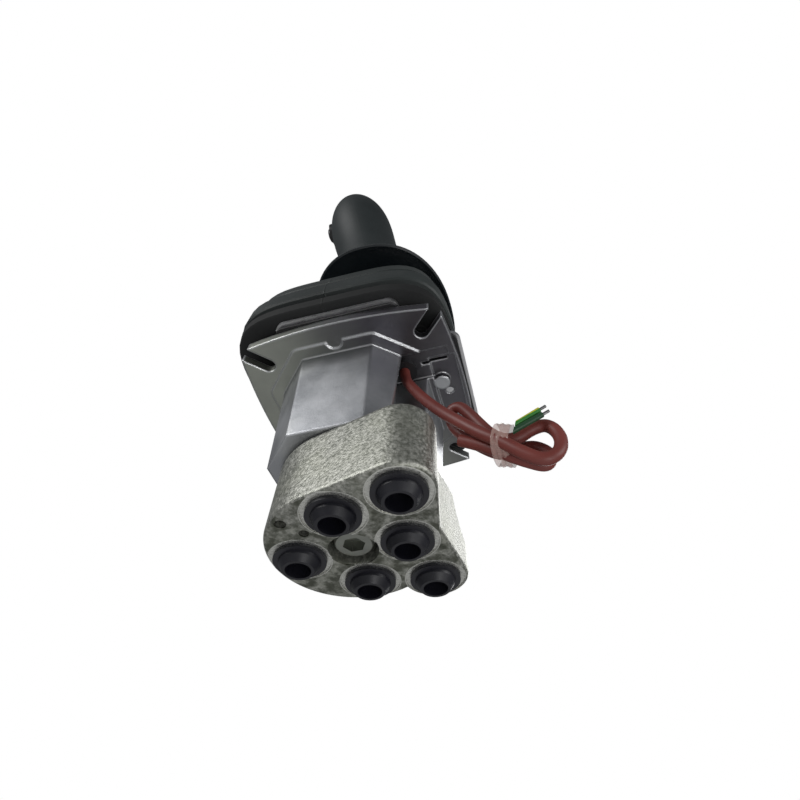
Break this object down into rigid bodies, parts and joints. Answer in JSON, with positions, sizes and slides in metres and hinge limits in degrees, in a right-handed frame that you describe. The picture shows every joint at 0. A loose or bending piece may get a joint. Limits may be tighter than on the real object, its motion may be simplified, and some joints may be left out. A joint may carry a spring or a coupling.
{
  "type": "hydraulic pilot joystick valve",
  "caption": "Pilot-control joystick valve: a flanged housing over a ported block, with a booted tilting lever, palm rest and hand grip.",
  "frame": {"origin": "centre of the flange's underside, the face that sits on the console panel", "axes": "+Z along the lever at rest, +X towards the pressure and tank ports and the cable, -Y towards the front working port"},
  "size_m": [0.145, 0.118, 0.3049],
  "materials": {
    "cast_block": "sand-cast, plated, speckled",
    "housing_alloy": "die-cast, blasted",
    "bright_steel": "machined",
    "spring_steel": "drawn wire",
    "black_steel": "black oxide",
    "bush_bronze": "turned",
    "plug_plastic": "moulded",
    "seal_rubber": "moulded",
    "boot_rubber": "moulded, satin",
    "grip_plastic": "moulded, fine texture",
    "rest_plastic": "moulded, satin",
    "button_plastic": "moulded",
    "cable_sheath": "extruded, dull",
    "tie_film": "clear film",
    "earth_insulation": "green and yellow",
    "signal_insulation": "dark green",
    "conductor": "tinned strands"
  },
  "bodies": {
    "valve_body": {"port_block": "cast_block", "upper_housing": "housing_alloy", "centre_screw": "black_steel", "joint_seals": "seal_rubber", "guide_seals": "seal_rubber", "boot_gasket": "seal_rubber", "cable_grommet": "seal_rubber", "plunger_guides": "bush_bronze", "port_plug_1": "plug_plastic", "port_plug_2": "plug_plastic", "port_plug_3": "plug_plastic", "port_plug_4": "plug_plastic", "pressure_port_plug": "plug_plastic", "tank_port_plug": "plug_plastic", "guide_plate": "bright_steel", "retaining_plate": "bright_steel", "clamp_screws": "bright_steel", "plate_screws": "bright_steel", "joint_base": "bright_steel", "boot_clamp": "bright_steel", "return_spring_1": "spring_steel", "return_spring_2": "spring_steel", "return_spring_3": "spring_steel", "return_spring_4": "spring_steel", "control_spring_1": "spring_steel", "control_spring_2": "spring_steel", "control_spring_3": "spring_steel", "control_spring_4": "spring_steel", "bellows": "boot_rubber", "cable": "cable_sheath", "cable_hank": "cable_sheath", "cable_tie": "tie_film", "earth_wire": "earth_insulation", "signal_wire": "signal_insulation", "wire_ends": "conductor"},
    "gimbal": {"joint_cross": "bright_steel"},
    "lever": {"joint_fork": "bright_steel", "control_disc": "bright_steel", "lock_nut": "bright_steel", "lever_rod": "bright_steel", "boot_collar": "rest_plastic", "hand_rest": "rest_plastic", "grip_left": "grip_plastic", "grip_right": "grip_plastic", "button_bezel": "button_plastic", "button_switch": "button_plastic"},
    "thumb_button": {"thumb_button": "button_plastic"},
    "plunger_1": {"plunger_1": "bright_steel"},
    "spool_1": {"control_spool_1": "bright_steel"},
    "plunger_2": {"plunger_2": "bright_steel"},
    "spool_2": {"control_spool_2": "bright_steel"},
    "plunger_3": {"plunger_3": "bright_steel"},
    "spool_3": {"control_spool_3": "bright_steel"},
    "plunger_4": {"plunger_4": "bright_steel"},
    "spool_4": {"control_spool_4": "bright_steel"}
  },
  "joints": [
    {"name": "tilt_front_back", "type": "hinge", "parent": "valve_body", "child": "gimbal", "pos_m": [0, 0, 0.024], "axis": [1, 0, 0], "range_deg": [-19, 19], "stiffness_Nm_per_rad": 4},
    {"name": "tilt_left_right", "type": "hinge", "parent": "gimbal", "child": "lever", "pos_m": [0, 0, 0.024], "axis": [0, 1, 0], "range_deg": [-19, 19], "stiffness_Nm_per_rad": 4, "deforming": ["bellows"]},
    {"name": "plunger_1_stroke", "type": "slide", "parent": "valve_body", "child": "plunger_1", "axis": [0, 0, 1], "range_m": [-0.00768, 0.00768], "deforming": ["return_spring_1", "control_spring_1"]},
    {"name": "spool_1_stroke", "type": "slide", "parent": "valve_body", "child": "spool_1", "axis": [0, 0, 1], "range_m": [-0.0016, 0.0016]},
    {"name": "plunger_2_stroke", "type": "slide", "parent": "valve_body", "child": "plunger_2", "axis": [0, 0, 1], "range_m": [-0.00768, 0.00768], "deforming": ["return_spring_2", "control_spring_2"]},
    {"name": "spool_2_stroke", "type": "slide", "parent": "valve_body", "child": "spool_2", "axis": [0, 0, 1], "range_m": [-0.0016, 0.0016]},
    {"name": "plunger_3_stroke", "type": "slide", "parent": "valve_body", "child": "plunger_3", "axis": [0, 0, 1], "range_m": [-0.00768, 0.00768], "deforming": ["return_spring_3", "control_spring_3"]},
    {"name": "spool_3_stroke", "type": "slide", "parent": "valve_body", "child": "spool_3", "axis": [0, 0, 1], "range_m": [-0.0016, 0.0016]},
    {"name": "plunger_4_stroke", "type": "slide", "parent": "valve_body", "child": "plunger_4", "axis": [0, 0, 1], "range_m": [-0.00768, 0.00768], "deforming": ["return_spring_4", "control_spring_4"]},
    {"name": "spool_4_stroke", "type": "slide", "parent": "valve_body", "child": "spool_4", "axis": [0, 0, 1], "range_m": [-0.0016, 0.0016]},
    {"name": "thumb_button_press", "type": "slide", "parent": "lever", "child": "thumb_button", "axis": [1, 0, 0], "range_m": [0, 0.0016], "stiffness_N_per_m": 600, "springref_m": -0.002}
  ],
  "couplings": [
    {"joint": "plunger_1_stroke", "follows": "tilt_front_back", "m_per_rad": -0.022844},
    {"joint": "spool_1_stroke", "follows": "tilt_front_back", "m_per_rad": -0.004523},
    {"joint": "plunger_2_stroke", "follows": "tilt_left_right", "m_per_rad": -0.022844},
    {"joint": "spool_2_stroke", "follows": "tilt_left_right", "m_per_rad": -0.004523},
    {"joint": "plunger_3_stroke", "follows": "tilt_front_back", "m_per_rad": 0.022844},
    {"joint": "spool_3_stroke", "follows": "tilt_front_back", "m_per_rad": 0.004523},
    {"joint": "plunger_4_stroke", "follows": "tilt_left_right", "m_per_rad": 0.022844},
    {"joint": "spool_4_stroke", "follows": "tilt_left_right", "m_per_rad": 0.004523}
  ]
}
